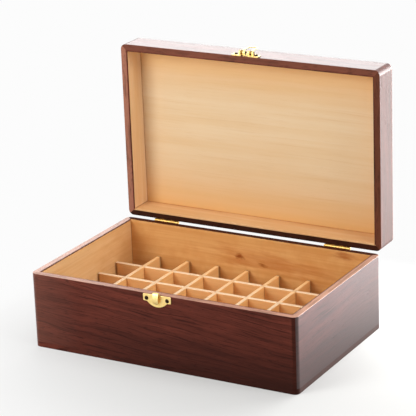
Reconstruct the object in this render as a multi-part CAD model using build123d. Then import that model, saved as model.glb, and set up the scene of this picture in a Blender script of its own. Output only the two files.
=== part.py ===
from build123d import *
import os

# Wooden box for small oil bottles, drawn with its lid standing open.
# X runs along the front, Y from front to back, Z up; the origin is the middle of the underside.

# the box
box_width = 260.0
box_depth = 165.0
base_height = 69.0          # underside to the rim
lid_height = 28.4           # rim to the outside of the top board
wall = 6.5
corner_radius = 5.0
base_board = 5.0
lid_board = 4.6
base_edge_radius = 0.5      # lower edge, only just broken
lid_edge_radius = 3.2       # soft upper edge of the lid
rim_outer_radius = 0.3
rim_inner_radius = 0.4
seam_gap = 0.1              # rim to rim with the lid shut

# the egg-crate grid: 8 by 5 cells
columns = 8
rows = 5
divider_thickness = 3.5
divider_top = 36.6          # height above the table
divider_end_gap = 0.8       # each end, to the wall
halving_gap = 0.1           # each side of a half-lap slot
divider_edge = 0.4          # small bevel on the upper edges

# the two hinges
hinge_insets = (41.0, 43.0) # left and right end of the box to the middle of its hinge
hinge_length = 25.0
hinge_knuckles = 5
knuckle_radius = 1.5
knuckle_gap = 0.1
hinge_offset = 1.6          # hinge line to the back of the box
leaf_thickness = 0.8
leaf_height = 9.5
leaf_corner = 1.2
leaf_relief = 1.65          # leaf cut back round the other leaf's knuckles
hinge_pin_radius = 0.75
pin_clearance = 0.05
pin_head_radius = 1.1
pin_head_height = 0.35
leaf_screw_apart = 16.4
leaf_screw_drop = 5.9
stop_width = 4.0            # claw on the lid leaf that ends the swing
stop_thickness = 0.8
stop_reach = 1.8            # hinge line to the claw's inner faces
stop_gap = 0.02

# the catch: strike plate, lid plate and swinging hasp
catch_middle = -1.5
plate_thickness = 0.8
plate_width = 27.4
plate_ear_height = 6.4
plate_corner = 1.4
plate_seam_gap = 0.5        # plate edge to the seam
belly_radius = 12.8
belly_depth = 11.6          # seam to the tip of the round belly
catch_screw_apart = 20.2
catch_screw_drop = 4.3
nose_width = 5.8
nose_tip_radius = 2.4
nose_tip = 8.6              # seam down to the free end
nose_curve = ((0.40, -3.4), (0.42, -1.2), (0.66, 0.45), (1.45, 1.55), (2.45, 1.05),
              (3.15, -0.9), (3.5, -3.2), (3.35, -5.6), (2.55, -7.4), (1.45, -8.9))
hasp_pin_rise = 5.0         # seam up to the pin
hasp_pin_out = 2.6          # wood to the pin
hasp_pin_radius = 0.65
hasp_eye_radius = 1.7
hasp_inner = 3.6            # half the opening
hasp_outer = 5.5
hasp_thickness = 0.8
hasp_standoff = 0.1         # flat of the hasp to the plates
hasp_tip_gap = 0.2          # crossbar to the nose
hasp_tail = 1.5
hasp_tail_gap = 0.02
ear_gap = 0.15
ear_outer = 7.4
ear_inner = 1.1
plate_notch_top = 2.7

# screws
screw_shank_radius = 0.7
pilot_radius = 0.75
screw_length = 5.0
pilot_extra = 0.3
leaf_screw_head = 1.6
catch_screw_head = 1.9
screw_head_height = 0.9
screw_slot_width = 0.5
screw_slot_depth = 0.4

# worked out from the sizes above
front_face = -box_depth / 2
back_face = box_depth / 2
inner_width = box_width - 2 * wall
inner_depth = box_depth - 2 * wall
cell_width = (inner_width - (columns - 1) * divider_thickness) / columns
cell_depth = (inner_depth - (rows - 1) * divider_thickness) / rows
divider_height = divider_top - base_board
hinge_places = (-box_width / 2 + hinge_insets[0], box_width / 2 - hinge_insets[1])
hinge_y = back_face + hinge_offset
hinge_line = Axis((0, hinge_y, base_height), (1, 0, 0))
hasp_line = Axis((0, front_face - hasp_pin_out, base_height + hasp_pin_rise), (1, 0, 0))
# flat of the front: x along the box, y up from the seam, z out towards the viewer
catch_plane = Plane(origin=(catch_middle, front_face, base_height), x_dir=(1, 0, 0), z_dir=(0, -1, 0))


def swing_open(shape):
    """Lid pieces are drawn shut and then turned back to where the lid stands open."""
    return shape.rotate(hinge_line, -90)


def polygon(*points):
    return make_face(Polyline(*points, close=True).edges())


# Walls and boards

def frame(bottom, top, rim_side):
    """The four walls in one piece, with the rim edges rounded."""
    ring = RectangleRounded(box_width, box_depth, corner_radius) - Rectangle(inner_width, inner_depth)
    ring = Pos(0, 0, bottom) * extrude(ring, top - bottom)
    rim_edges = ring.edges().group_by(Axis.Z)[rim_side]
    inner = [e for e in rim_edges if abs(e.center().X) < box_width / 2 - wall / 2
             and abs(e.center().Y) < box_depth / 2 - wall / 2 and e.geom_type == GeomType.LINE]
    ring = fillet(inner, rim_inner_radius)
    rim_edges = ring.edges().group_by(Axis.Z)[rim_side]
    outer = [e for e in rim_edges if abs(e.center().X) > box_width / 2 - corner_radius
             or abs(e.center().Y) > box_depth / 2 - corner_radius / 2]
    outer = [e for e in outer if e.geom_type == GeomType.CIRCLE or e.length > inner_depth]
    return fillet(outer, rim_outer_radius)


def mitred_wall(ring, side):
    """One wall: the part of the ring between its two 45 degree mitres."""
    half_w, half_d = box_width / 2, box_depth / 2
    in_w, in_d = inner_width / 2, inner_depth / 2
    turn = {"front": 1, "back": -1, "left": 1, "right": -1}[side]
    if side in ("front", "back"):
        plan = polygon((-half_w, -turn * half_d), (half_w, -turn * half_d),
                       (in_w, -turn * in_d), (-in_w, -turn * in_d))
    else:
        plan = polygon((-turn * half_w, -half_d), (-turn * in_w, -in_d),
                       (-turn * in_w, in_d), (-turn * half_w, half_d))
    tall = base_height + lid_height
    return (ring & extrude(plan, tall)).solids()[0]


def board(bottom, thickness, edge_radius, edge_side):
    """Flat board as large as the box, its outer edge rounded over."""
    slab = Pos(0, 0, bottom) * extrude(RectangleRounded(box_width, box_depth, corner_radius), thickness)
    return fillet(slab.edges().group_by(Axis.Z)[edge_side], edge_radius)


# Dividers

def divider_places(count, cell, span):
    pitch = cell + divider_thickness
    first = -span / 2 + cell + divider_thickness / 2
    return [first + pitch * i for i in range(count - 1)]


def divider_board(length):
    """Thin board along X, bevelled along both upper edges."""
    slab = Pos(0, 0, base_board) * Box(length, divider_thickness, divider_height,
                                       align=(Align.CENTER, Align.CENTER, Align.MIN))
    top_edges = slab.edges().group_by(Axis.Z)[-1].filter_by(Axis.X)
    return chamfer(top_edges, divider_edge)


def half_lap(z_bottom):
    """Slot that takes a crossing divider, half the height of the grid."""
    width = divider_thickness + 2 * halving_gap
    return Pos(0, 0, z_bottom) * Box(width, 2 * divider_thickness, divider_height / 2 + halving_gap,
                                     align=(Align.CENTER, Align.CENTER, Align.MIN))


def long_divider(y):
    """Runs from side to side; its slots are open at the top."""
    slab = divider_board(inner_width - 2 * divider_end_gap)
    slot_bottom = base_board + divider_height / 2 - halving_gap
    for x in divider_places(columns, cell_width, inner_width):
        slab -= Pos(x, 0, 0) * half_lap(slot_bottom)
    return Pos(0, y, 0) * slab


def short_divider(x):
    """Runs from front to back; its slots are open at the bottom."""
    slab = divider_board(inner_depth - 2 * divider_end_gap)
    for y in divider_places(rows, cell_depth, inner_depth):
        slab -= Pos(y, 0, 0) * half_lap(base_board)
    return Pos(x, 0, 0) * Rot(0, 0, 90) * slab


# Screws

def screw(head_radius):
    """Round-head screw with its head above the XY plane and a slot across it."""
    cap = make_face([Line((0, 0), (head_radius, 0)),
                     ThreePointArc((head_radius, 0), (0.74 * head_radius, 0.68 * screw_head_height),
                                   (0, screw_head_height)),
                     Line((0, screw_head_height), (0, 0))])
    head = revolve(Plane.XZ * cap, Axis.Z)
    head -= Pos(0, 0, screw_head_height) * Box(2 * head_radius, screw_slot_width, 2 * screw_slot_depth)
    straight = screw_length - 2 * screw_shank_radius
    shank = Pos(0, 0, -straight / 2) * Cylinder(screw_shank_radius, straight)
    tip = Pos(0, 0, -straight - screw_shank_radius) * Cone(0.15, screw_shank_radius, 2 * screw_shank_radius)
    return head + shank + tip


def pilot_hole():
    depth = screw_length + pilot_extra
    return Pos(0, 0, -depth / 2) * Cylinder(pilot_radius, depth)


def leaf_screw_seats(up):
    """Where the hinge screws go, on the back of the box; up is 1 for the lid and -1 for the base."""
    return [Pos(x + dx, back_face, base_height + up * leaf_screw_drop) * Rot(-90, 0, 0)
            for x in hinge_places for dx in (-leaf_screw_apart / 2, leaf_screw_apart / 2)]


def catch_screw_seats(up):
    return [catch_plane.location * Pos(dx, up * catch_screw_drop, 0)
            for dx in (-catch_screw_apart / 2, catch_screw_apart / 2)]


def screw_group(seats, head_radius, metal):
    """All screws of one fitting as one group, heads resting on the metal."""
    slots = (35, -20, 70, 10)
    return [(seat * Pos(0, 0, metal) * Rot(0, 0, slots[i % 4]) * screw(head_radius)).solids()[0]
            for i, seat in enumerate(seats)]


# Hinges

def knuckle_spans():
    pitch = hinge_length / hinge_knuckles
    return [(-hinge_length / 2 + pitch * i + knuckle_gap / 2,
             -hinge_length / 2 + pitch * (i + 1) - knuckle_gap / 2) for i in range(hinge_knuckles)]


def block(x0, x1, y0, y1, z0, z1):
    return Pos(x0, y0, z0) * Box(x1 - x0, y1 - y0, z1 - z0, align=Align.MIN)


def rod(x0, x1, radius, y=0.0, z=0.0):
    """Round bar along X."""
    return Pos(x0, y, z) * extrude(Plane.YZ * Circle(radius), x1 - x0)


def hinge_leaf(own):
    """Leaf that hangs below the hinge line, with its own share of the knuckles rolled onto it."""
    wood, out = -hinge_offset, -hinge_offset + leaf_thickness
    half = hinge_length / 2
    flat = block(-half, half, wood, out, -leaf_height, -leaf_relief)
    flat = fillet(flat.edges().filter_by(Axis.Y).group_by(Axis.Z)[0], leaf_corner)
    for start, end in own:
        flat += block(start, end, wood, out, -2 * leaf_relief, 0)
        flat += rod(start, end, knuckle_radius)
    flat -= rod(-half, half, hinge_pin_radius + pin_clearance)
    for dx in (-leaf_screw_apart / 2, leaf_screw_apart / 2):
        flat -= Pos(dx, wood, -leaf_screw_drop) * Rot(90, 0, 0) * Cylinder(pilot_radius, 4 * leaf_thickness)
    return flat


def stop_claw():
    """Bent arm that passes behind the knuckles and lands on the base leaf when the lid is open."""
    far = stop_reach + stop_thickness
    half = stop_width / 2
    # drawn with the lid open: down behind the barrel, then forward to the base leaf
    arm = block(-half, half, stop_reach, far, -far, hinge_offset)
    foot = block(-half, half, -hinge_offset + leaf_thickness + stop_gap, far, -far, -stop_reach)
    claw = arm + foot
    bend = claw.edges().filter_by(Axis.X).sort_by_distance((0, far, -far))[0]
    return fillet(bend, stop_thickness)


def base_leaf(x):
    leaf = hinge_leaf(knuckle_spans()[0::2])
    return Pos(x, hinge_y, base_height) * leaf


def lid_leaf(x):
    leaf = mirror(hinge_leaf(knuckle_spans()[1::2]), Plane.XY).rotate(Axis.X, -90) + stop_claw()
    return Pos(x, hinge_y, base_height) * leaf


def headed_pin(x0, x1, radius, head_radius, head_height):
    """Plain pin with a riveted head at each end."""
    pin = rod(x0, x1, radius)
    pin += rod(x0 - head_height, x0, head_radius) + rod(x1, x1 + head_height, head_radius)
    ends = pin.edges().filter_by(GeomType.CIRCLE).group_by(Axis.X)
    return fillet(list(ends[0]) + list(ends[-1]), 0.7 * head_height)


def hinge_pin(x):
    half = hinge_length / 2
    pin = headed_pin(-half, half, hinge_pin_radius, pin_head_radius, pin_head_height)
    return Pos(x, hinge_y, base_height) * pin


# Catch

def plate_outline(up):
    """Two square ears on a round belly; up is 1 for the lid plate and -1 for the strike plate."""
    bar_middle = plate_seam_gap + plate_ear_height / 2
    bar = Pos(0, bar_middle) * RectangleRounded(plate_width, plate_ear_height, plate_corner)
    belly = Pos(0, belly_depth - belly_radius) * Circle(belly_radius)
    below_seam = Pos(0, plate_seam_gap + belly_radius) * Rectangle(3 * belly_radius, 2 * belly_radius)
    outline = bar + (belly & below_seam)
    return outline if up > 0 else mirror(outline, Plane.XZ)


def catch_plate(up):
    flat = extrude(plate_outline(up), plate_thickness)
    for dx in (-catch_screw_apart / 2, catch_screw_apart / 2):
        flat -= Pos(dx, up * catch_screw_drop, 0) * Cylinder(pilot_radius, 4 * plate_thickness)
    return flat


def bent_strip(curve, thickness):
    """Side view of a strip of metal bent along a smooth curve of (out, up) points."""
    middle = Spline(*curve)
    steps = 2 * len(curve)
    left, right = [], []
    for i in range(steps + 1):
        point, along = middle @ (i / steps), middle % (i / steps)
        across = Vector(-along.Y, along.X) * (thickness / 2)
        left.append(point + across)
        right.append(point - across)
    return make_face([Spline(*left), Line(left[-1], right[-1]), Spline(*right), Line(right[0], left[0])])


def nose():
    """The hook of the strike plate: folded over above the seam and bellied out below it."""
    strip = Rot(0, -90, 0) * extrude(bent_strip(nose_curve, plate_thickness), nose_width, both=True)
    half = nose_width / 2
    round_y = nose_tip_radius - nose_tip
    front = polygon((-half, 3), (half, 3), (half, -1.5), (nose_tip_radius, round_y),
                    (-nose_tip_radius, round_y), (-half, -1.5))
    front += Pos(0, round_y) * Circle(nose_tip_radius)
    return strip & extrude(front, 3 * hasp_pin_out)


def strike_plate():
    return catch_plane.location * (catch_plate(-1) + nose())


def pin_ear(x0, x1):
    """Upright lug on the lid plate with the pin through it."""
    top = rod(x0, x1, hasp_eye_radius, hasp_pin_rise, hasp_pin_out)
    foot = block(x0, x1, hasp_pin_rise - hasp_eye_radius, hasp_pin_rise + hasp_eye_radius,
                 plate_thickness / 2, hasp_pin_out)
    return top + foot


def lid_plate():
    plate = catch_plate(1)
    notch = hasp_inner - ear_gap / 3
    plate -= block(-notch, notch, 0, plate_notch_top, -1, 2 * plate_thickness)
    for side in (-1, 1):
        for near, far in ((ear_inner, hasp_inner - ear_gap), (hasp_outer + ear_gap, ear_outer)):
            plate += pin_ear(min(side * near, side * far), max(side * near, side * far))
    plate -= rod(-ear_outer - 1, ear_outer + 1, hasp_pin_radius + pin_clearance, hasp_pin_rise, hasp_pin_out)
    return swing_open(catch_plane.location * plate)


def hasp_pin():
    pin = headed_pin(-ear_outer, ear_outer, hasp_pin_radius, hasp_pin_radius + 0.35, pin_head_height)
    return swing_open(catch_plane.location * Pos(0, hasp_pin_rise, hasp_pin_out) * pin)


def hasp():
    """Flat U-shaped loop with a rolled eye on each leg, drawn hooked and then folded back."""
    round_y = hasp_inner - nose_tip - hasp_tip_gap
    tall = hasp_pin_rise - round_y
    loop = Pos(0, round_y) * Circle(hasp_outer)
    loop += Pos(0, round_y + tall / 2) * Rectangle(2 * hasp_outer, tall)
    loop -= Pos(0, round_y) * Circle(hasp_inner)
    loop -= Pos(0, round_y + tall) * Rectangle(2 * hasp_inner, 2 * tall)
    back = plate_thickness + hasp_standoff
    shape = Pos(0, 0, back) * extrude(loop, hasp_thickness)
    tail_out = hasp_pin_out - plate_thickness - hasp_tail_gap
    for side in (-1, 1):
        x0 = min(side * hasp_inner, side * hasp_outer)
        x1 = max(side * hasp_inner, side * hasp_outer)
        shape += rod(x0, x1, hasp_eye_radius, hasp_pin_rise, hasp_pin_out)
        shape += block(x0, x1, hasp_pin_rise - hasp_tail, hasp_pin_rise,
                       hasp_pin_out + 1, hasp_pin_out + tail_out)
    shape -= rod(-hasp_outer - 1, hasp_outer + 1, hasp_pin_radius + pin_clearance, hasp_pin_rise, hasp_pin_out)
    folded = (catch_plane.location * shape).rotate(hasp_line, -180)
    return swing_open(folded)


# All pieces

def box_pieces():
    pieces = {}
    base_ring = frame(base_board, base_height, -1)
    lid_low = base_height + seam_gap
    lid_high = base_height + lid_height - lid_board
    lid_ring = frame(lid_low, lid_high, 0)
    for side in ("front", "back", "left", "right"):
        pieces[f"base_wall_{side}"] = mitred_wall(base_ring, side)
        pieces[f"lid_wall_{side}"] = mitred_wall(lid_ring, side)
    drilled = {"base_wall_back": leaf_screw_seats(-1), "lid_wall_back": leaf_screw_seats(1),
               "base_wall_front": catch_screw_seats(-1), "lid_wall_front": catch_screw_seats(1)}
    for name, seats in drilled.items():
        for seat in seats:
            pieces[name] -= seat * pilot_hole()
    pieces["base_bottom_board"] = board(0, base_board, base_edge_radius, 0)
    pieces["lid_top_board"] = board(lid_high, lid_board, lid_edge_radius, -1)
    for name in pieces:
        if name.startswith("lid_"):
            pieces[name] = swing_open(pieces[name])
    return pieces


def grid_pieces():
    pieces = {}
    for i, y in enumerate(divider_places(rows, cell_depth, inner_depth)):
        pieces[f"divider_long_{i + 1}"] = long_divider(y)
    for i, x in enumerate(divider_places(columns, cell_width, inner_width)):
        pieces[f"divider_short_{i + 1}"] = short_divider(x)
    return pieces


def metal_pieces():
    pieces = {}
    for name, x in zip(("left", "right"), hinge_places):
        pieces[f"hinge_{name}_base_leaf"] = base_leaf(x)
        pieces[f"hinge_{name}_lid_leaf"] = lid_leaf(x)
        pieces[f"hinge_{name}_pin"] = hinge_pin(x)
    pieces["catch_strike_plate"] = strike_plate()
    pieces["catch_lid_plate"] = lid_plate()
    pieces["catch_hasp"] = hasp()
    pieces["catch_hasp_pin"] = hasp_pin()
    groups = {"hinge_screws_base": (leaf_screw_seats(-1), leaf_screw_head, leaf_thickness, False),
              "hinge_screws_lid": (leaf_screw_seats(1), leaf_screw_head, leaf_thickness, True),
              "catch_screws_base": (catch_screw_seats(-1), catch_screw_head, plate_thickness, False),
              "catch_screws_lid": (catch_screw_seats(1), catch_screw_head, plate_thickness, True)}
    for name, (seats, head, metal, on_lid) in groups.items():
        screws = screw_group(seats, head, metal)
        pieces[name] = Compound([swing_open(s) if on_lid else s for s in screws])
    return pieces


os.makedirs("parts", exist_ok=True)
pieces = {**box_pieces(), **grid_pieces(), **metal_pieces()}
for name, shape in pieces.items():
    export_step(shape, f"parts/{name}.step")
    print(name, "solids", len(shape.solids()), "volume", round(shape.volume, 1))
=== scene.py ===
import math

import bmesh
import bpy
import numpy as np
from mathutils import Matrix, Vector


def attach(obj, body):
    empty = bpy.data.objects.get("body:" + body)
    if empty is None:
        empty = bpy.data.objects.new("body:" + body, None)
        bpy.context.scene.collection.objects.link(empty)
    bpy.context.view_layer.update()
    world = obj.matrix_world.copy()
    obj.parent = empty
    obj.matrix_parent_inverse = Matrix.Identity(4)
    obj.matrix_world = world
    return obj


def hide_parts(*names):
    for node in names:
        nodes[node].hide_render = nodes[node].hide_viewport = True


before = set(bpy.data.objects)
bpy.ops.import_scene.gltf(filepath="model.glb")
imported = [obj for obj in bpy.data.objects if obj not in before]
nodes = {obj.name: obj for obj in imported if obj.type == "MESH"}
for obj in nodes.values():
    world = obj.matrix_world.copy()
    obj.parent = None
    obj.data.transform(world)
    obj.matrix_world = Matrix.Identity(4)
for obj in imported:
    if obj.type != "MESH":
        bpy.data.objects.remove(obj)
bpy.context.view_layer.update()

scene = bpy.context.scene
scene.view_settings.view_transform = "Standard"

# Lengths of wood and metal are in millimetres; the camera, the stage and the lamps are in metres, as the scene is.


# sRGB hex to the linear colour that a shader wants: ((c + 0.055) / 1.055) ** 2.4 above the toe
def linear(hexCode):
    values = [int(hexCode[i:i + 2], 16) / 255 for i in (1, 3, 5)]
    return [v / 12.92 if v <= 0.04045 else ((v + 0.055) / 1.055) ** 2.4 for v in values] + [1.0]


# one node with its settings; each socket is linked to a socket, linked to a node's first live output, or set
def addNode(tree, kind, sockets=None, **settings):
    node = tree.nodes.new("ShaderNode" + kind)
    for name, value in settings.items():
        setattr(node, name, value)
    for socket, value in (sockets or {}).items():
        if isinstance(value, bpy.types.Node):
            value = next(out for out in value.outputs if out.enabled)
        if isinstance(value, bpy.types.NodeSocket):
            tree.links.new(value, node.inputs[socket])
        else:
            node.inputs[socket].default_value = value
    return node


# an empty material and its node tree
def newMaterial(name):
    material = bpy.data.materials.new(name)
    material.use_nodes = True
    material.node_tree.nodes.clear()
    return material, material.node_tree


# one material in every slot of the named pieces
def dress(names, material):
    for name in names:
        for slot in nodes[name].material_slots:
            slot.material = material


# Camera and stage

view = {
    "location": (0.83613, -1.45049, 0.68772),
    "turn": (71.268, 2.056, 29.144),      # degrees
    "lens": 175.85,
    "clip": (0.05, 50),
}
camera = bpy.data.objects.new("camera", bpy.data.cameras.new("camera"))
camera.data.lens = view["lens"]
camera.location = view["location"]
camera.rotation_euler = [math.radians(a) for a in view["turn"]]
camera.data.clip_start, camera.data.clip_end = view["clip"]
scene.collection.objects.link(camera)
scene.camera = camera

# the paper turns white for the camera between the two distances of whiteBehind, along Y, of whiteLeft, along X,
# and of whiteRound, from roundFrom
stage = {"floorSize": 8.0, "floorColour": "#d6d6d4", "floorSeen": "#cdcdcb", "floorGlow": 0.2, "white": "#fcfcfc",
         "whiteBehind": (0.1, 0.25), "whiteLeft": (-0.13, -0.24), "whiteRound": (0.12, 0.4),
         "roundFrom": (0.1, 0.02, 0), "skyStrength": 0.4}

floorMesh = bpy.data.meshes.new("floor")
half = stage["floorSize"] / 2
floorMesh.from_pydata([(-half, -half, 0), (half, -half, 0), (half, half, 0), (-half, half, 0)], [], [(0, 1, 2, 3)])
floor = bpy.data.objects.new("floor", floorMesh)
scene.collection.objects.link(floor)
floorMaterial, tree = newMaterial("white paper sweep")
rays = addNode(tree, "LightPath").outputs
tone = addNode(tree, "Mix", {0: rays["Is Camera Ray"], 6: linear(stage["floorColour"]),
                             7: linear(stage["floorSeen"])}, data_type="RGBA")
paper = addNode(tree, "BsdfDiffuse", {"Color": tone})
glow = addNode(tree, "Emission", {"Color": linear(stage["white"]), "Strength": 1.0})
# white's share = a smooth step of the largest of the three ramps; near the box the paper keeps its shadow
place = addNode(tree, "TexCoord").outputs["Object"]
split = addNode(tree, "SeparateXYZ", {0: place}).outputs
far = addNode(tree, "VectorMath", {0: place, 1: stage["roundFrom"]}, operation="DISTANCE").outputs["Value"]
away = 0.0
for length, name in ((split[1], "whiteBehind"), (split[0], "whiteLeft"), (far, "whiteRound")):
    share = addNode(tree, "MapRange", {0: length, "From Min": stage[name][0], "From Max": stage[name][1]})
    away = addNode(tree, "Math", {0: away, 1: share}, operation="MAXIMUM")
whiteness = addNode(tree, "MapRange", {0: away, "To Min": stage["floorGlow"]}, interpolation_type="SMOOTHSTEP")
seen = addNode(tree, "Math", {0: whiteness, 1: rays["Is Camera Ray"]}, operation="MULTIPLY")
mirrored = addNode(tree, "Math", {0: rays["Is Glossy Ray"], 1: stage["floorGlow"]}, operation="MULTIPLY")
share = addNode(tree, "Math", {0: seen, 1: mirrored}, operation="MAXIMUM")
addNode(tree, "OutputMaterial", {"Surface": addNode(tree, "MixShader", {0: share, 1: paper, 2: glow})})
floor.data.materials.append(floorMaterial)

world = bpy.data.worlds.new("studio")
scene.world = world
world.use_nodes = True
tree = world.node_tree
tree.nodes.clear()
rays = addNode(tree, "LightPath").outputs
direct = addNode(tree, "Math", {0: rays["Is Camera Ray"], 1: rays["Is Glossy Ray"]}, operation="MAXIMUM")
direct = addNode(tree, "Math", {0: direct, 1: rays["Is Transmission Ray"]}, operation="MAXIMUM")
strength = addNode(tree, "MapRange", {0: direct, "To Min": stage["skyStrength"], "To Max": 1.0})
sky = addNode(tree, "Background", {"Color": (1, 1, 1, 1), "Strength": strength})
addNode(tree, "OutputWorld", {"Surface": sky})

# each lamp: where it stands, where it points, its power in watts, and its two sides in metres or, for a spot,
# its cone in degrees and its radius
lamps = {
    "back window": {"at": (-0.25, 1.75, 0.95), "to": (0, 0.1, 0.12), "watts": 34, "sides": (2.6, 1.0)},
    "low strip behind": {"at": (1.0, 2.1, 0.18), "to": (0.1, 0, 0.1), "watts": 210, "sides": (2.2, 0.3)},
    "paper behind": {"at": (0.34, 0.58, 1.6), "to": (0.288, 0.5, 0), "watts": 540, "cone": 37,
                     "radius": 0.1, "only": "floor"},
    "right side": {"at": (1.2, -0.1, 0.85), "to": (0.05, 0, 0.08), "watts": 10, "sides": (0.8, 0.8)},
    "overhead": {"at": (0, 0, 1.5), "to": (0, 0, 0.1), "watts": 4, "sides": (1.2, 1.2)},
    "left front": {"at": (-0.42, -0.75, 0.5), "to": (-0.05, 0, 0.08), "watts": 5.9, "sides": (0.5, 0.5)},
}
for name, lamp in lamps.items():
    light = bpy.data.lights.new(name, "SPOT" if "cone" in lamp else "AREA")
    if "cone" in lamp:
        light.spot_size, light.spot_blend = math.radians(lamp["cone"]), 1.0
        light.shadow_soft_size = lamp["radius"]
    else:
        light.shape = "RECTANGLE"
        light.size, light.size_y = lamp["sides"]
    light.energy = lamp["watts"]
    holder = bpy.data.objects.new(name, light)
    holder.location = lamp["at"]
    aim = Vector(lamp["to"]) - Vector(lamp["at"])
    holder.rotation_euler = aim.to_track_quat("-Z", "Y").to_euler()
    holder.visible_camera = False
    if lamp.get("only") == "floor":
        # a background lamp: it lights the paper and no part of the box, and the box throws no shadow from it
        paperOnly = bpy.data.collections.new("paper only")
        paperOnly.objects.link(floor)
        holder.light_linking.receiver_collection = paperOnly
        holder.light_linking.blocker_collection = paperOnly
    scene.collection.objects.link(holder)
print("camera, stage and lamps ready")

# Wood. One board is stained outside and bare inside, so each wall's material holds both finishes
# and tells them apart by place.

# the box's own sizes, as packed: what the stain's edge, the joints and the rim are found from
boxSizes = {"innerHalfWidth": 123.5, "innerHalfDepth": 76.0, "rimBase": 69.0, "rimLid": 84.2, "lidMiddle": 153.1,
            "floorBase": 5.0, "floorLid": 107.9, "boardHalf": 2.3, "halfWidth": 130.0}

# pale softwood planed and left bare: matt, honey coloured, faint long lines, a brown line where boards meet
bareBoard = {
    "light": "#eccaa0", "dark": "#d59c5e", "line": "#b87a42", "lineBy": 0.25, "mottleBy": 0.3,
    "joint": "#8a4a22", "jointBy": 0.6, "jointWidth": (0.9, 0.2), "jointBroken": 0.35,
    "rough": 0.62,
    "wander": (220, 90, 90), "wanderBy": 5, "tilt": 0, "step": (53.0, 23.0, 7.0),
    "figure": ((260, 6, 9), 0.15, 0.85), "streak": ((70, 1.6, 3), 0.56, 0.75), "pore": ((14, 0.9, 2), 0.6, 0.75),
    "fibre": ((35, 1.1, 2), 0.3, 0.7), "mottle": ((70, 26, 30), 0.35, 0.65),
}
# mahogany stained and sprayed with satin lacquer: dark red-brown, open pores, sheen at a low angle;
# tint is the lacquer's gloss seen straight on, which is weak where the coat is thin
stainedBoard = {
    "light": "#6c3327", "dark": "#461f17", "line": "#240f0b", "lineBy": 0.7, "mottleBy": 0.35,
    "rough": (0.27, 0.36), "tint": "#70504a", "pitMm": 0.06,
    # rim: the sanded top's paler colour together with a painted sheen of the lamps behind
    "rim": "#d4a08a", "rimBy": 0.9, "rimDark": 0.88, "rimLine": 0.5, "rimLineBy": 0.5,
    "rimRough": 0.52, "rimRoughDown": (1.0, 0.5), "rimFlat": (0.35, 0.1), "rimInset": (0.7, 1.4),
    "roundRough": 0.58, "roundOut": (-1.5, -2.5),
    "overInner": 0.8, "rimStart": -1.0, "edgeRagged": 0.2, "edgeSoft": 0.25, "cutSide": 3.0,
    "wander": (95, 40, 40), "wanderBy": 7, "tilt": 4, "step": (37.0, 19.0, 11.0),
    "figure": ((120, 5, 9), 0.3, 0.7), "streak": ((48, 1.5, 3), 0.53, 0.65), "pore": ((8, 0.9, 2), 0.57, 0.68),
    "fibre": ((18, 1.0, 2), 0.3, 0.7), "mottle": ((60, 22, 30), 0.35, 0.65),
}


# The grain of a board, in board coordinates (along, across, depth) in mm, moved by number * step so that no two
# boards are cut from one place: a slow noise moves the across value, so that the lines wander,
# figure = noise at (along / figureLong, across / figureWide), streaks and pores the same but finer, cut off
# at a level.
def woodGrain(tree, board):
    split = addNode(tree, "SeparateXYZ", {0: addNode(tree, "TexCoord").outputs["Object"]}).outputs
    turned = addNode(tree, "CombineXYZ", {i: split[axis] for i, axis in enumerate(board["axes"])})
    moved = [step * board["number"] for step in board["step"]]
    inMm = addNode(tree, "Mapping", {"Vector": turned, "Scale": (1000, 1000, 1000), "Location": moved,
                                     "Rotation": (0, 0, math.radians(board["tilt"]))})
    slow = addNode(tree, "VectorMath", {0: inMm, 1: board["wander"]}, operation="DIVIDE")
    wander = addNode(tree, "TexNoise", {"Vector": slow, "Scale": 1, "Detail": 2})
    offset = addNode(tree, "MapRange", {0: wander, "To Min": -board["wanderBy"], "To Max": board["wanderBy"]})
    bent = addNode(tree, "VectorMath", {0: inMm, 1: addNode(tree, "CombineXYZ", {1: offset})}, operation="ADD")
    found = {}
    for part in ("figure", "streak", "pore", "fibre", "mottle"):
        size, low, high = board[part]
        stretched = addNode(tree, "VectorMath", {0: bent, 1: size}, operation="DIVIDE")
        noise = addNode(tree, "TexNoise", {"Vector": stretched, "Scale": 1, "Detail": 3, "Roughness": 0.6})
        found[part] = addNode(tree, "MapRange", {0: noise, "From Min": low, "From Max": high})
    return found


# colour of one finish: light and dark by the figure, darker lines by streaks and pores, slow mottle over all
def woodColour(tree, grain, look):
    body = addNode(tree, "Mix", {0: grain["figure"], 6: linear(look["light"]), 7: linear(look["dark"])},
                   data_type="RGBA")
    soft = addNode(tree, "Math", {0: grain["mottle"], 1: look["mottleBy"]}, operation="MULTIPLY")
    body = addNode(tree, "Mix", {0: soft, 6: body, 7: linear(look["dark"])}, data_type="RGBA")
    lines = addNode(tree, "Math", {0: grain["streak"], 1: grain["pore"]}, operation="MAXIMUM")
    lines = addNode(tree, "Math", {0: lines, 1: look["lineBy"]}, operation="MULTIPLY")
    return addNode(tree, "Mix", {0: lines, 6: body, 7: linear(look["line"])}, data_type="RGBA")


# x, y and z of the shaded point in mm
def placeInMm(tree):
    place = addNode(tree, "TexCoord").outputs["Object"]
    inMm = addNode(tree, "Mapping", {"Vector": place, "Scale": (1000, 1000, 1000)})
    return addNode(tree, "SeparateXYZ", {0: inMm}).outputs


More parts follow.
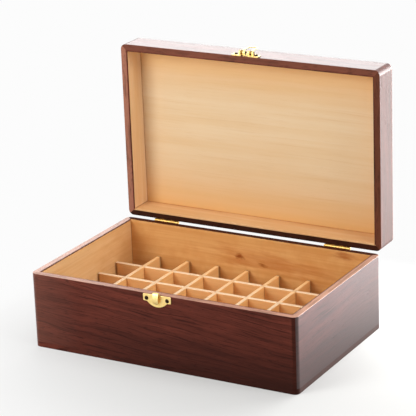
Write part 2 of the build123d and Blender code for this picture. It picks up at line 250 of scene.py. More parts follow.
# Distances in mm inside the base or the lid: u and v from the inner faces of the walls (below 0 within a wall),
# w above the board, b below the rim.
def innerDistances(tree, part):
    split = placeInMm(tree)
    onLid = part.startswith("lid")
    deep, high = (split[2], split[1]) if onLid else (split[1], split[2])
    centred = addNode(tree, "Math", {0: deep, 1: boxSizes["lidMiddle"] if onLid else 0}, operation="SUBTRACT")
    outX = addNode(tree, "Math", {0: split[0]}, operation="ABSOLUTE")
    outY = addNode(tree, "Math", {0: centred}, operation="ABSOLUTE")
    u = addNode(tree, "Math", {0: boxSizes["innerHalfWidth"], 1: outX}, operation="SUBTRACT")
    v = addNode(tree, "Math", {0: boxSizes["innerHalfDepth"], 1: outY}, operation="SUBTRACT")
    if onLid:
        w = addNode(tree, "Math", {0: boxSizes["floorLid"], 1: high}, operation="SUBTRACT")
        b = addNode(tree, "Math", {0: high, 1: boxSizes["rimLid"]}, operation="SUBTRACT")
    else:
        w = addNode(tree, "Math", {0: high, 1: boxSizes["floorBase"]}, operation="SUBTRACT")
        b = addNode(tree, "Math", {0: boxSizes["rimBase"], 1: high}, operation="SUBTRACT")
    return {"u": u, "v": v, "w": w, "b": b, "x": split[0], "y": split[1], "z": split[2]}


# How far a point is past the line where the stain ends, in mm, below 0 on bare wood, after outward = how far it is
# beyond the inner face, -min(u, v). A wall gives max(outward - cutSide, min(overInner - b, outward - rimStart)):
# stained outside and over the rim, ending a little below its inner edge. A board gives
# max(outward - cutSide, how far past its middle).
def stainEdge(tree, part, near, look):
    inward = addNode(tree, "Math", {0: near["u"], 1: near["v"]}, operation="MINIMUM")
    outward = addNode(tree, "Math", {0: inward, 1: -1}, operation="MULTIPLY")
    if part.endswith("board"):
        past = addNode(tree, "Math", {0: -boxSizes["boardHalf"], 1: near["w"]}, operation="SUBTRACT")
    else:
        below = addNode(tree, "Math", {0: look["overInner"], 1: near["b"]}, operation="SUBTRACT")
        beyond = addNode(tree, "Math", {0: outward, 1: look["rimStart"]}, operation="SUBTRACT")
        past = addNode(tree, "Math", {0: below, 1: beyond}, operation="MINIMUM")
    outer = addNode(tree, "Math", {0: outward, 1: look["cutSide"]}, operation="SUBTRACT")
    return outward, addNode(tree, "Math", {0: outer, 1: past}, operation="MAXIMUM")


# 1 on the flat of the rim, where the sanded top took the stain paler and the painted sheen of the lamps lies; 0
# over
# its edges, which stayed dark: a ramp of b over rimFlat times a ramp of outward over rimInset
def rimShare(tree, outward, near, look):
    start, full = look["rimFlat"]
    flat = addNode(tree, "MapRange", {0: near["b"], "From Min": start, "From Max": full})
    start, full = look["rimInset"]
    clear = addNode(tree, "MapRange", {0: outward, "From Min": start, "From Max": full})
    return addNode(tree, "Math", {0: flat, 1: clear}, operation="MULTIPLY")


# Dark line where two inner faces meet: the middle one of u, v and w is how far the nearest joint is,
# max(min(u, v), min(max(u, v), w)), and the slow mottle breaks the line.
def jointShare(tree, near, look, grain):
    lower = addNode(tree, "Math", {0: near["u"], 1: near["v"]}, operation="MINIMUM")
    upper = addNode(tree, "Math", {0: near["u"], 1: near["v"]}, operation="MAXIMUM")
    upper = addNode(tree, "Math", {0: upper, 1: near["w"]}, operation="MINIMUM")
    away = addNode(tree, "Math", {0: lower, 1: upper}, operation="MAXIMUM")
    start, full = look["jointWidth"]
    share = addNode(tree, "MapRange", {0: away, "From Min": start, "From Max": full})
    broken = addNode(tree, "MapRange", {0: grain["mottle"], "To Min": look["jointBroken"], "To Max": 1.0})
    share = addNode(tree, "Math", {0: share, 1: broken}, operation="MULTIPLY")
    return addNode(tree, "Math", {0: share, 1: look["jointBy"]}, operation="MULTIPLY")


# Warmer, darker wood towards the two long edges of a board: painted shade of the walls beside them, growing as the
# square of nearness
def wallShadeShare(tree, near, look):
    edge = addNode(tree, "MapRange", {0: near["v"], "From Min": look["wallShadeWidth"], "From Max": 0.0})
    edge = addNode(tree, "Math", {0: edge, 1: 2.0}, operation="POWER")
    return addNode(tree, "Math", {0: edge, 1: look["wallShadeBy"]}, operation="MULTIPLY")


# A knot or a cloud of warmer wood: distance from its middle in half lengths and half heights, after a turn to
# lean with the grain, made ragged by a noise of its own, which stays between 0.25 and 0.75; full at the middle and
# nothing at 1
def cloudShare(tree, near, cloud, along):
    place = addNode(tree, "CombineXYZ", {0: near["xyz"[along]], 1: near["z"]})
    turn = (0, 0, math.radians(cloud["lean"]))
    inHalves = addNode(tree, "Mapping", {"Vector": place, "Location": (*cloud["at"], 0), "Rotation": turn,
                                         "Scale": (*cloud["half"], 1)}, vector_type="TEXTURE")
    inPatches = addNode(tree, "Mapping", {"Vector": place, "Rotation": turn, "Scale": (*cloud["patch"], 1)},
                        vector_type="TEXTURE")
    noise = addNode(tree, "TexNoise", {"Vector": inPatches, "Scale": 1, "Detail": 3, "Roughness": 0.55})
    ragged = addNode(tree, "MapRange", {0: noise, "From Min": 0.25, "From Max": 0.75, "To Min": -cloud["ragged"],
                                        "To Max": cloud["ragged"]})
    away = addNode(tree, "VectorMath", {0: inHalves}, operation="LENGTH").outputs["Value"]
    return addNode(tree, "MapRange", {0: addNode(tree, "Math", {0: away, 1: ragged}, operation="ADD"),
                                      "From Min": 1.0, "From Max": 0.0, "To Max": cloud["by"]},
                   interpolation_type="SMOOTHSTEP")


# Painted shade on the base's stain, where less light reaches it: the larger of rightEnd * a smooth step down to
# the lower edge and corner * a ramp over the corner rounds, both times (how far to the right) ^ bend. The rounds
# are where
# |x| + |y| is past its value at the end of the flat faces.
paintedShade = {"from": 64.0, "to": 0.0, "rightEnd": 0.88, "bend": 0.5, "cornerStart": 207.5, "cornerFull": 208.7,
           "corner": 0.72}


def paintedShadeShare(tree, near):
    low = addNode(tree, "MapRange", {0: near["z"], "From Min": paintedShade["from"], "From Max": paintedShade["to"]},
                  interpolation_type="SMOOTHSTEP")
    right = addNode(tree, "MapRange", {0: near["x"], "From Min": -boxSizes["halfWidth"],
                                       "From Max": boxSizes["halfWidth"]})
    right = addNode(tree, "Math", {0: right, 1: paintedShade["bend"]}, operation="POWER")
    low = addNode(tree, "Math", {0: low, 1: right}, operation="MULTIPLY")
    low = addNode(tree, "Math", {0: low, 1: paintedShade["rightEnd"]}, operation="MULTIPLY")
    sides = [addNode(tree, "Math", {0: near[axis]}, operation="ABSOLUTE") for axis in "xy"]
    both = addNode(tree, "Math", {0: sides[0], 1: sides[1]}, operation="ADD")
    corner = addNode(tree, "MapRange", {0: both, "From Min": paintedShade["cornerStart"],
                                        "From Max": paintedShade["cornerFull"], "To Max": paintedShade["corner"]})
    corner = addNode(tree, "Math", {0: corner, 1: right}, operation="MULTIPLY")
    return addNode(tree, "Math", {0: low, 1: corner}, operation="MAXIMUM")


# a hex colour with each part multiplied
def darker(hexCode, by):
    return "#" + "".join(f"{round(int(hexCode[i:i + 2], 16) * by):02x}" for i in (1, 3, 5))


# A board of the box: inside + (outside - inside) * isStained, where the stain's edge is ragged by the fibres.
# Inside lie the painted shade beside the walls, the clouds and the joints' lines over the bare wood; outside lie
# the painted shade low on the base, the painted sheen at the left end and the pale rim with its painted sheen over
# the stained wood.
def boxWood(part, board):
    material, tree = newMaterial("stained mahogany outside, bare softwood inside, " + part)
    stained = {**stainedBoard, **board, **board.get("stained", {})}
    bare = {**bareBoard, **board, **board.get("bare", {})}
    grainOut, grainIn = woodGrain(tree, stained), woodGrain(tree, bare)
    outside, inside = woodColour(tree, grainOut, stained), woodColour(tree, grainIn, bare)
    near = innerDistances(tree, part)
    outward, edge = stainEdge(tree, part, near, stained)
    ragged = addNode(tree, "MapRange", {0: grainIn["fibre"], "To Min": -stained["edgeRagged"],
                                        "To Max": stained["edgeRagged"]})
    edge = addNode(tree, "Math", {0: edge, 1: ragged}, operation="ADD")
    isStained = addNode(tree, "MapRange", {0: edge, "From Min": -stained["edgeSoft"],
                                           "From Max": stained["edgeSoft"]})
    # painted shade beside the walls along the board's long edges
    if "wallShadeBy" in bare:
        inside = addNode(tree, "Mix", {0: wallShadeShare(tree, near, bare), 6: inside, 7: linear(bare["wallShade"])},
                         data_type="RGBA")
    for cloud in board.get("clouds", ()):
        share = cloudShare(tree, near, cloud, board["axes"][0])
        inside = addNode(tree, "Mix", {0: share, 6: inside, 7: linear(cloud["colour"])}, data_type="RGBA")
    inside = addNode(tree, "Mix", {0: jointShare(tree, near, bare, grainIn), 6: inside, 7: linear(bare["joint"])},
                     data_type="RGBA")
    if part.startswith("base"):
        # painted shade: the base's stain darkens towards the lower edge, the right end and the corner rounds
        outside = addNode(tree, "Mix", {0: paintedShadeShare(tree, near), 6: outside, 7: linear(stained["line"])},
                          data_type="RGBA")
    # painted sheen: the stain turns paler towards the left end
    if "paintedSheen" in stained:
        share = addNode(tree, "MapRange", {0: near["x"], "From Min": stained["paintedSheenFrom"],
                                           "From Max": -boxSizes["halfWidth"], "To Max": stained["paintedSheenBy"]})
        outside = addNode(tree, "Mix", {0: share, 6: outside, 7: linear(stained["paintedSheen"])}, data_type="RGBA")
    smooth, rough = stained["rough"]
    roughOut = addNode(tree, "MapRange", {0: grainOut["fibre"], "To Min": smooth, "To Max": rough})
    if part.startswith("lid"):
        # the sanded corner rounds are duller: there both u and v are well outside the inner faces
        both = addNode(tree, "Math", {0: near["u"], 1: near["v"]}, operation="MAXIMUM")
        start, full = stained["roundOut"]
        inRound = addNode(tree, "MapRange", {0: both, "From Min": start, "From Max": full})
        roughOut = addNode(tree, "Mix", {0: inRound, 2: roughOut, 3: stained["roundRough"]}, data_type="FLOAT")
    if not part.endswith("board"):
        onRim = rimShare(tree, outward, near, stained)
        start, full = stained["rimRoughDown"]
        atRim = addNode(tree, "MapRange", {0: near["b"], "From Min": start, "From Max": full})
        roughOut = addNode(tree, "Mix", {0: atRim, 2: roughOut, 3: stained["rimRough"]}, data_type="FLOAT")
        # the pale rim holds a painted sheen as well as the sanded top's colour
        rimLook = {**stained, "light": stained["rim"], "dark": darker(stained["rim"], stained["rimDark"]),
                   "line": darker(stained["rim"], stained["rimLine"]), "lineBy": stained["rimLineBy"]}
        pale = addNode(tree, "Mix", {0: stained["rimBy"], 6: outside, 7: woodColour(tree, grainOut, rimLook)},
                       data_type="RGBA")
        outside = addNode(tree, "Mix", {0: onRim, 6: outside, 7: pale}, data_type="RGBA")
    colour = addNode(tree, "Mix", {0: isStained, 6: inside, 7: outside}, data_type="RGBA")
    roughness = addNode(tree, "Mix", {0: isStained, 2: bare["rough"], 3: roughOut}, data_type="FLOAT")
    pits = addNode(tree, "Math", {0: grainOut["pore"], 1: grainOut["streak"]}, operation="MAXIMUM")
    height = addNode(tree, "Mix", {0: isStained, 2: grainIn["fibre"], 3: pits}, data_type="FLOAT")
    bump = addNode(tree, "Bump", {"Height": height, "Strength": 0.25, "Distance": stained["pitMm"] / 1000},
                   invert=True)
    shader = addNode(tree, "BsdfPrincipled", {"Base Color": colour, "Roughness": roughness, "IOR": 1.5,
                                              "Specular Tint": linear(stained["tint"]), "Normal": bump})
    addNode(tree, "OutputMaterial", {"Surface": shader})
    return material


# axes: 0 is X, 1 is Y, 2 is Z, in the order along, across, depth of the board. A cloud's middle, its half length
# and half height, and its patches are in mm along the board and in height, and its lean is in degrees.
# Each board's rim colour is painted light or painted shade: pale where the lamps' sheen falls, dark on the back
# rims in the shade between lid and base.
boards = {
    # paler towards the left end: painted sheen of the light from the left
    "base_wall_front": {"axes": (0, 2, 1), "number": 1,
                        "stained": {"rim": "#c89682", "paintedSheen": "#a87868", "paintedSheenFrom": -82.0, "paintedSheenBy": 0.13}},
    # the back wall's stain outside is darker than the front's: painted shade against the strong light from behind
    "base_wall_back": {"axes": (0, 2, 1), "number": 2,
                       "bare": {"light": "#e6b678", "dark": "#c98b4a", "mottle": ((24, 30, 30), 0.4, 0.6),
                                "mottleBy": 0.45},
                       "stained": {"rim": "#4c220c", "overInner": 0.5, "rimStart": 0.3, "rimRough": 0.9,
                                   "light": "#5e2d23", "dark": "#3d1b15"},
                       "clouds": ({"at": (25.0, 46.0), "half": (85.0, 13.0), "patch": (40, 5), "ragged": 0.6,
                                   "lean": -4, "by": 0.5, "colour": "#b0622a"},
                                  {"at": (98.0, 64.0), "half": (15.0, 5.0), "patch": (14, 3), "ragged": 0.5,
                                   "lean": -4, "by": 0.65, "colour": "#9c5022"},
                                  {"at": (-8.5, 48.8), "half": (7.0, 4.2), "patch": (6, 2.5), "ragged": 0.5,
                                   "lean": -10, "by": 0.9, "colour": "#8a4418"},
                                  {"at": (15.5, 43.8), "half": (6.5, 2.8), "patch": (6, 2), "ragged": 0.5,
                                   "lean": -10, "by": 0.85, "colour": "#94501e"})},
    # the left wall's bare wood is paler, with a warmer darker cloud over its far end: painted light on the near
    # part and painted shade towards the back
    "base_wall_left": {"axes": (1, 2, 0), "number": 3, "bare": {"light": "#fadaa8", "dark": "#deaa6a"},
                       "stained": {"rim": "#e2b8a8"},
                       "clouds": ({"at": (75.0, 30.0), "half": (85.0, 60.0), "patch": (30, 12), "ragged": 0.3,
                                   "lean": 0, "by": 0.6, "colour": "#cc8c46"},)},
    # the right wall's stain is darker and greyer than the front's: painted shade against the strong light from the
    # right
    "base_wall_right": {"axes": (1, 2, 0), "number": 4,
                        "stained": {"tint": "#f4fbff", "rim": "#d4a088", "tilt": 0,
                                    "light": "#5e3430", "dark": "#3e2424"}},
    "base_bottom_board": {"axes": (0, 1, 2), "number": 5},
    "lid_wall_front": {"axes": (0, 1, 2), "number": 6, "stained": {"rim": "#7c4836", "tint": "#90706a"}},
    "lid_wall_back": {"axes": (0, 1, 2), "number": 7,
                      "stained": {"rim": "#3a2014", "rimStart": 1.4, "rimRough": 0.9}},
    "lid_wall_left": {"axes": (2, 1, 0), "number": 8, "stained": {"rim": "#a8705a"},
                      "bare": {"light": "#f2d8b2", "dark": "#e0b27c"}},
    # the lid's right wall's stain is darker than the front's: painted shade against the strong light from the
    # right
    "lid_wall_right": {"axes": (2, 1, 0), "number": 9,
                       "stained": {"rim": "#663a28", "light": "#5a2f28", "dark": "#381a16", "tint": "#7a605c"}},
    # the lid board's stain outside is darker than the front's: painted shade against the strong light from behind
    "lid_top_board": {"axes": (0, 2, 1), "number": 10,
                      "bare": {"light": "#e6d2b2", "dark": "#dab889", "joint": "#b0602c", "jointBy": 0.75,
                               "wallShade": "#dfa862", "wallShadeBy": 0.85, "wallShadeWidth": 62.0,
                               "figure": ((320, 12, 14), 0.1, 0.9), "mottleBy": 0.2, "lineBy": 0.16,
                               "wanderBy": 3},
                      "stained": {"light": "#5e2d23", "dark": "#3d1b15"}},
}
for name, board in boards.items():
    dress([name], boxWood(name, board))

# thin sawn softwood, orange on its faces, with a painted highlight on the upper edges from the light above,
# painted shade at the ends where they meet the walls, and brown where two dividers cross: every pitch along,
# counted from start; the upper edges' painted highlight fades along their fade
dividers = {
    "edge": "#f4dfc0", "topLightBy": 0.75, "topLightFar": 0.05, "top": (36.0, 36.4), "fibreMm": 0.05,
    "end": "#6e3e1a", "endShadeBy": 0.6, "cross": "#b07038", "crossBy": 0.3, "crossAway": (2.7, 2.1),
    "long": {"axes": (0, 2, 1), "number": 20, "count": 4, "light": "#f0be80", "dark": "#dca05e",
             "end": (120.6, 121.8), "pitch": 31.3125, "start": 0.0, "fade": (300.0, 200.0)},
    # the short dividers' wood is paler than the long ones': painted light on their faces that face the right lamp
    "short": {"axes": (1, 2, 0), "number": 30, "count": 7, "light": "#f8cc8c", "dark": "#eab26a",
              "end": (72.8, 74.0), "pitch": 31.1, "start": 15.55, "fade": (76.0, 5.0)},
}


# A divider: the crossings' tone, then the painted shade at the sawn ends and last the painted highlight on the
# upper edge are laid over bare wood.
# How far the nearest crossing is = |along + start| folded every half pitch.
def dividerWood(name, number, way):
    material, tree = newMaterial("bare sawn softwood, " + name)
    look = {**bareBoard, **way, "number": number}
    grain = woodGrain(tree, look)
    split = placeInMm(tree)
    along = split[way["axes"][0]]
    start, full = dividers["top"]
    onTop = addNode(tree, "MapRange", {0: split[2], "From Min": start, "From Max": full})
    counted = addNode(tree, "Math", {0: along, 1: way["start"]}, operation="ADD")
    away = addNode(tree, "Math", {0: counted, 1: way["pitch"] / 2}, operation="PINGPONG")
    start, full = dividers["crossAway"]
    crossed = addNode(tree, "MapRange", {0: away, "From Min": start, "From Max": full,
                                         "To Max": dividers["crossBy"]})
    colour = addNode(tree, "Mix", {0: crossed, 6: woodColour(tree, grain, look), 7: linear(dividers["cross"])},
                     data_type="RGBA")
    # painted shade at the sawn ends, where they meet the walls
    fromMiddle = addNode(tree, "Math", {0: along}, operation="ABSOLUTE")
    start, full = way["end"]
    shadeAtEnd = addNode(tree, "MapRange", {0: fromMiddle, "From Min": start, "From Max": full,
                                       "To Max": dividers["endShadeBy"]})
    colour = addNode(tree, "Mix", {0: shadeAtEnd, 6: colour, 7: linear(dividers["end"])}, data_type="RGBA")
    # painted highlight on the upper edge, from the light above
    far, full = way["fade"]
    paintedTopLight = addNode(tree, "MapRange", {0: along, "From Min": far, "From Max": full,
                                        "To Min": dividers["topLightFar"], "To Max": dividers["topLightBy"]})
    top = addNode(tree, "Math", {0: onTop, 1: paintedTopLight}, operation="MULTIPLY")
    colour = addNode(tree, "Mix", {0: top, 6: colour, 7: linear(dividers["edge"])}, data_type="RGBA")
    bump = addNode(tree, "Bump", {"Height": grain["fibre"], "Strength": 0.2,
                                  "Distance": dividers["fibreMm"] / 1000})
    shader = addNode(tree, "BsdfPrincipled", {"Base Color": colour, "Roughness": look["rough"], "IOR": 1.5,
                                              "Normal": bump})
    addNode(tree, "OutputMaterial", {"Surface": shader})
    return material


for kind in ("long", "short"):
    way = dividers[kind]
    for i in range(1, way["count"] + 1):
        dress([f"divider_{kind}_{i}"], dividerWood(f"{kind} divider {i}", way["number"] + i, way))
print("wood ready")

# Metal

# Catch coordinates are x along the box from the catch's middle, up from the seam and out from the wood. The
# quarter turn on the hinge line brings the lid's front wall lidHigh over the floor.
catch = {"middle": -1.5, "front": -82.5, "seam": 69.0, "hingeLine": 84.1, "pinUp": 5.0, "pinOut": 2.6}
lidHigh = catch["seam"] + catch["hingeLine"] - catch["front"]


# Two colours and a range of roughness laid out by one noise, on a metal. Faces that look along X, the sheet's cut
# sides, get painted shade: a ramp of |nx| over their facing range turns them to a third colour. Round a joint's
# pin painted shade darkens the metal, by sqrt((y - pinY)^2 + (z - pinZ)^2).
def metal(name, look):
    material, tree = newMaterial(name)
    place = addNode(tree, "TexCoord").outputs["Object"]
    inMm = addNode(tree, "Mapping", {"Vector": place, "Scale": (1000 / look["spotMm"],) * 3})
    spots = addNode(tree, "TexNoise", {"Vector": inMm, "Scale": 1, "Detail": 4})
    colour = addNode(tree, "Mix", {0: spots, 6: linear(look["light"]), 7: linear(look["dark"])}, data_type="RGBA")
    # painted shade on the faces that look along X
    if "cut" in look:
        facing = addNode(tree, "SeparateXYZ", {0: addNode(tree, "TexCoord").outputs["Normal"]}).outputs
        facing = addNode(tree, "Math", {0: facing[0]}, operation="ABSOLUTE")
        start, full = look["cutFacing"]
        isShadedSide = addNode(tree, "MapRange", {0: facing, "From Min": start, "From Max": full})
        colour = addNode(tree, "Mix", {0: isShadedSide, 6: colour, 7: linear(look["cut"])}, data_type="RGBA")
    # painted shade round the pin
    if "pin" in look:
        flat = addNode(tree, "Mapping", {"Vector": place, "Scale": (0, 1000, 1000)})
        away = addNode(tree, "VectorMath", {0: flat, 1: (0, *look["pin"])}, operation="DISTANCE").outputs["Value"]
        start, full = look["shadowedMm"]
        isShadowed = addNode(tree, "MapRange", {0: away, "From Min": start, "From Max": full,
                                            "To Max": look["shadowedBy"]})
        colour = addNode(tree, "Mix", {0: isShadowed, 6: colour, 7: linear(look["shadowed"])}, data_type="RGBA")
    smooth, rough = look["rough"]
    roughness = addNode(tree, "MapRange", {0: spots, "To Min": smooth, "To Max": rough})
    bump = addNode(tree, "Bump", {"Height": spots, "Strength": 0.2, "Distance": look["bumpMm"] / 1000})
    shader = addNode(tree, "BsdfPrincipled", {"Base Color": colour, "Metallic": 1.0, "Roughness": roughness,
                                              "Normal": bump})
    addNode(tree, "OutputMaterial", {"Surface": shader})
    return material


# brass pressed from sheet, tumbled and clear lacquered: pale bright yellow with a soft shine, dull brown painted
# shade on the cut sides
sheetBrass = {"light": "#fce3a2", "dark": "#eac670", "rough": (0.38, 0.52), "spotMm": 2.5, "bumpMm": 0.02,
              "cut": "#7c6418", "cutFacing": (0.75, 0.95)}
pressedBrass = metal("pressed lacquered brass", sheetBrass)
# the same sheet folded round the hasp's pin: painted shade turns the cut sides in the folds almost black brown
folds = {**sheetBrass, "cut": "#34240a"}
foldShadedBrass = metal("pressed brass shadowed in its folds", folds)
# the hasp's eyes also get painted shade, darker round the pin between the ears
haspBrass = metal("pressed brass shadowed round its pin",
                  {**folds, "pin": (catch["hingeLine"] + catch["pinUp"], lidHigh + catch["pinOut"]),
                   "shadowedMm": (2.5, 1.9), "shadowed": "#6e4c06", "shadowedBy": 0.9})
# brass drawn through a die and rolled into knuckles: deeper yellow
drawnBrass = metal("drawn brass", {"light": "#d8b26a", "dark": "#9c7638", "rough": (0.3, 0.42), "spotMm": 1.5,
                                   "bumpMm": 0.02})
# steel chemically bronzed: almost black brown with a dull shine
bronzedSteel = metal("bronzed steel", {"light": "#3a2b20", "dark": "#1d1510", "rough": (0.3, 0.45), "spotMm": 0.4,
                                       "bumpMm": 0.01})
# a dark pin, made darker still by painted shade of the gap: the bare middle of the hasp's pin is a dark spot
# between the ears
shadedPinBrass = metal("dark brass pin shadowed between the ears", {"light": "#3c2c16", "dark": "#20160b", "rough": (0.3, 0.45),
                                                     "spotMm": 0.4, "bumpMm": 0.01})
dress([name for name in nodes if name.startswith("hinge_")], drawnBrass)
dress(["catch_strike_plate"], pressedBrass)
dress(["catch_lid_plate"], foldShadedBrass)
dress(["catch_hasp"], haspBrass)
dress(["catch_hasp_pin"], shadedPinBrass)
dress(["catch_screws_base", "catch_screws_lid"], bronzedSteel)
print("metal ready")

# Pressed pieces of the catch, as grids of points


# catch coordinates in mm to the scene's metres, on the base
def onBase(x, up, out):
    return np.stack([catch["middle"] + x, catch["front"] - out, catch["seam"] + up], axis=-1) / 1000


# the same on the open lid, with the hasp folded back: (up, out) goes to (2 pinUp - up, 2 pinOut - out),
# and then the lid's quarter turn gives Y = hingeLine + up, Z = lidHigh + out
def onLidFolded(x, up, out):
    up, out = 2 * catch["pinUp"] - up, 2 * catch["pinOut"] - out
    return np.stack([catch["middle"] + x, catch["hingeLine"] + up, lidHigh + out], axis=-1) / 1000


# One closed mesh from grids of points: each row of a grid is a ring, joined to the next by quads,
# and the first and last rings are closed by a fan to their mean point.
def meshFromRings(name, grids, body, replaced, material):
    points, faces, start = [], [], 0
    for grid in grids:
        rings, count = grid.shape[:2]
        points += [grid.reshape(-1, 3), grid[0].mean(0, keepdims=True), grid[-1].mean(0, keepdims=True)]
        ring, step = np.meshgrid(np.arange(rings - 1), np.arange(count), indexing="ij")
        corner = start + ring * count + step
        beside = start + ring * count + (step + 1) % count
        faces += np.stack([corner, beside, beside + count, corner + count], axis=-1).reshape(-1, 4).tolist()
        around, poles = np.arange(count), start + rings * count
        for row, pole in ((0, poles), (rings - 1, poles + 1)):
            first = start + row * count + around
            second = start + row * count + (around + 1) % count
            faces += np.stack([first, second, np.full(count, pole)], axis=-1).tolist()
        start += rings * count + 2
    mesh = bpy.data.meshes.new(name)
    mesh.from_pydata(np.concatenate(points).tolist(), [], faces)
    shape = bmesh.new()
    shape.from_mesh(mesh)
    bmesh.ops.recalc_face_normals(shape, faces=shape.faces)
    shape.to_mesh(mesh)
    shape.free()
    mesh.polygons.foreach_set("use_smooth", np.ones(len(mesh.polygons), dtype=bool))
    piece = bpy.data.objects.new(name, mesh)
    scene.collection.objects.link(piece)
    mesh.materials.append(material)
    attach(piece, body)
    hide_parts(replaced)


# A smooth line through points, by Catmull-Rom: between points 1 and 2 of each four at share f it is
# (2 p1 + (p2 - p0) f + (2 p0 - 5 p1 + 4 p2 - p3) f^2 + (3 p1 - p0 - 3 p2 + p3) f^3) / 2
def smoothLine(points, count):
    points = np.array(points, float)
    ends = np.vstack([2 * points[0] - points[1], points, 2 * points[-1] - points[-2]])
    t = np.linspace(0, len(points) - 1, count)
    i = np.minimum(t.astype(int), len(points) - 2)
    f = (t - i)[:, None]
    p0, p1, p2, p3 = ends[i], ends[i + 1], ends[i + 2], ends[i + 3]
    return (2 * p1 + (p2 - p0) * f + (2 * p0 - 5 * p1 + 4 * p2 - p3) * f ** 2
            + (3 * p1 - p0 - 3 * p2 + p3) * f ** 3) / 2


# Rounded bar section at angles round it: |cos|^(2/n) and |sin|^(2/n) with their signs, n = square
def barSection(count, square):
    angle = np.linspace(0, 2 * np.pi, count, endpoint=False)
    c, s = np.cos(angle), np.sin(angle)
    return np.sign(c) * np.abs(c) ** (2 / square), np.sign(s) * np.abs(s) ** (2 / square)


# A section (a, t) carried along points: each ring is point + across * halfWide * a + normal * halfThick * t, with
# across square to the line and to the normal. The first and last ring are smaller by endShrink.
def carried(centre, normal, halfWide, halfThick, section, endShrink):
    along = np.gradient(centre, axis=0)
    along /= np.linalg.norm(along, axis=1, keepdims=True)
    across = np.cross(along, normal)
    across /= np.linalg.norm(across, axis=1, keepdims=True)
    size = np.ones(len(centre))
    size[[0, -1]] = endShrink
    a, t = section
    return (centre[:, None] + across[:, None] * (a * (halfWide * size)[:, None])[..., None]
            + normal[:, None] * (t * (halfThick * size)[:, None])[..., None])


strikePlate = {"centre": -4.0, "halfWidth": 13.7, "top": -0.5, "earBottom": -6.9, "square": 14.0,
               "bellyMiddle": 1.2, "bellyRadius": 12.8, "thickness": 0.8, "edgeRound": 0.5, "backInset": 1.0,
               "around": 240, "flatRings": 8, "flatShares": (0.15, 0.97), "bendRings": 7}


# The plate's outline by angle from its middle: the farther of two ears joined as one rounded bar,
# ((|cos| / halfWidth)^n + (|sin| / halfHeight)^n)^(-1/n), and the belly's circle below, b + sqrt(b^2 - d^2 + R^2)
# with b = d sin. Rings then shrink inwards over the flat, and follow a quarter round down the edge.
def strikePlateGrid(look):
    angle = np.linspace(0, 2 * np.pi, look["around"], endpoint=False)
    c, s = np.cos(angle), np.sin(angle)
    halfHigh = np.where(s > 0, look["top"] - look["centre"], look["centre"] - look["earBottom"])
    n = look["square"]
    bar = ((np.abs(c) / look["halfWidth"]) ** n + (np.abs(s) / halfHigh) ** n) ** (-1 / n)
    d = look["bellyMiddle"] - look["centre"]
    belly = d * s + np.sqrt((d * s) ** 2 - d ** 2 + look["bellyRadius"] ** 2)
    reach = np.where(s < 0, np.maximum(bar, belly), bar)
    bend = np.linspace(0, np.pi / 2, look["bendRings"])
    r = look["edgeRound"]
    inward = np.concatenate([r - r * np.sin(bend), [0.0]])
    height = np.concatenate([look["thickness"] - r + r * np.cos(bend), [0.0]])
    flat = np.linspace(*look["flatShares"], look["flatRings"])[:, None] * (reach - r)[None]
    rings = np.vstack([flat, reach[None] - inward[:, None], (reach - look["backInset"])[None]])
    out = np.concatenate([np.full(look["flatRings"], look["thickness"]), height, [0.0]])
    return onBase(rings * c, look["centre"] + rings * s, np.broadcast_to(out[:, None], rings.shape))


# the hook's middle line is (out, up), from under the plate's top edge, over and out, and down to its free end
hook = {"line": ((0.40, -3.4), (0.42, -1.2), (0.66, 0.45), (1.45, 1.55), (2.45, 1.05),
                 (3.15, -0.9), (3.5, -3.2), (3.35, -5.6), (2.55, -7.3), (1.5, -8.7)),
        "halfWide": 2.85, "halfThick": 0.4, "tipStart": -5.4, "tipEnd": -8.6, "tipLeast": 0.02,
        "rings": 90, "around": 40, "square": 6.0, "endShrink": 0.5}


# The hook: a rounded strip carried along its line. On the outer half of the line the half width goes round as
# sqrt(1 - q^2), with q from 0 at tipStart to 1 at tipEnd.
def hookGrid(look):
    count = look["rings"]
    line = smoothLine(look["line"], count)
    out, up = line[:, 0], line[:, 1]
    tangent = np.gradient(line, axis=0)
    tangent /= np.linalg.norm(tangent, axis=1, keepdims=True)
    centre = np.stack([np.zeros(count), up, out], axis=-1)
    normal = np.stack([np.zeros(count), tangent[:, 0], -tangent[:, 1]], axis=-1)
    q = np.clip((look["tipStart"] - up) / (look["tipStart"] - look["tipEnd"]), 0, 1)
    q = np.where(np.arange(count) > count / 2, q, 0)
    halfWide = look["halfWide"] * np.sqrt(np.maximum(1 - q ** 2, look["tipLeast"]))
    section = barSection(look["around"], look["square"])
    grid = carried(centre, normal, halfWide, look["halfThick"], section, look["endShrink"])
    return onBase(grid[..., 0], grid[..., 1], grid[..., 2])


meshFromRings("strike_plate_pressed", [strikePlateGrid(strikePlate), hookGrid(hook)], "base",
              "catch_strike_plate", pressedBrass)

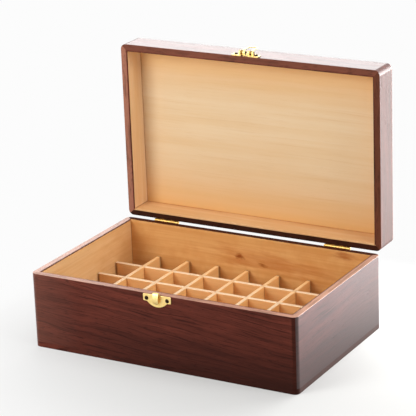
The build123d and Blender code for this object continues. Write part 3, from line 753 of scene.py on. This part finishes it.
haspLoop = {"legMiddle": 4.55, "halfWide": 0.93, "halfThick": 0.39, "flatOut": 1.3, "bendUp": -5.6,
            "eyeRadius": 1.29, "tail": 1.45, "tailRings": 4, "eyeRings": 24, "legRings": 12, "loopRings": 40,
            "around": 28, "square": 5.0, "endShrink": 0.7}


# One strip from tail to tail: straight tail, half a turn round the pin, (pinUp - r cos, pinOut + r sin), straight
# leg, half circle, (legMiddle cos, bendUp + legMiddle sin), and the same back on the other side. Its thickness
# points out on the flat and away from the pin round the eye.
def haspGrid(look):
    pinUp, pinOut, r = catch["pinUp"], catch["pinOut"], look["eyeRadius"]
    tails, legs = look["tailRings"], look["legRings"]
    turn = np.linspace(np.pi / 2, 3 * np.pi / 2, look["eyeRings"])
    tailUp = np.linspace(pinUp - look["tail"], pinUp, tails, endpoint=False)
    legUp = np.linspace(pinUp, look["bendUp"], legs + 2)[1:-1]
    up = np.concatenate([tailUp, pinUp - r * np.cos(turn), legUp])
    out = np.concatenate([np.full(tails, pinOut + r), pinOut + r * np.sin(turn), np.full(legs, look["flatOut"])])
    side = np.concatenate([np.zeros(tails), np.cos(turn), np.zeros(legs)])
    face = np.concatenate([np.ones(tails), np.sin(turn), -np.ones(legs)])
    leg = np.stack([np.full(len(up), -look["legMiddle"]), up, out], axis=-1)
    legNormal = np.stack([np.zeros(len(up)), -side, face], axis=-1)
    swing = np.linspace(np.pi, 2 * np.pi, look["loopRings"])
    loop = np.stack([look["legMiddle"] * np.cos(swing), look["bendUp"] + look["legMiddle"] * np.sin(swing),
                     np.full(len(swing), look["flatOut"])], axis=-1)
    loopNormal = np.tile([0.0, 0.0, -1.0], (len(swing), 1))
    centre = np.vstack([leg, loop, leg[::-1] * [-1, 1, 1]])
    normal = np.vstack([legNormal, loopNormal, legNormal[::-1]])
    section = barSection(look["around"], look["square"])
    grid = carried(centre, normal, look["halfWide"], look["halfThick"], section, look["endShrink"])
    return onLidFolded(grid[..., 0], grid[..., 1], grid[..., 2])


meshFromRings("hasp_loop_rolled", [haspGrid(haspLoop)], "hasp", "catch_hasp", haspBrass)
print("catch ready")
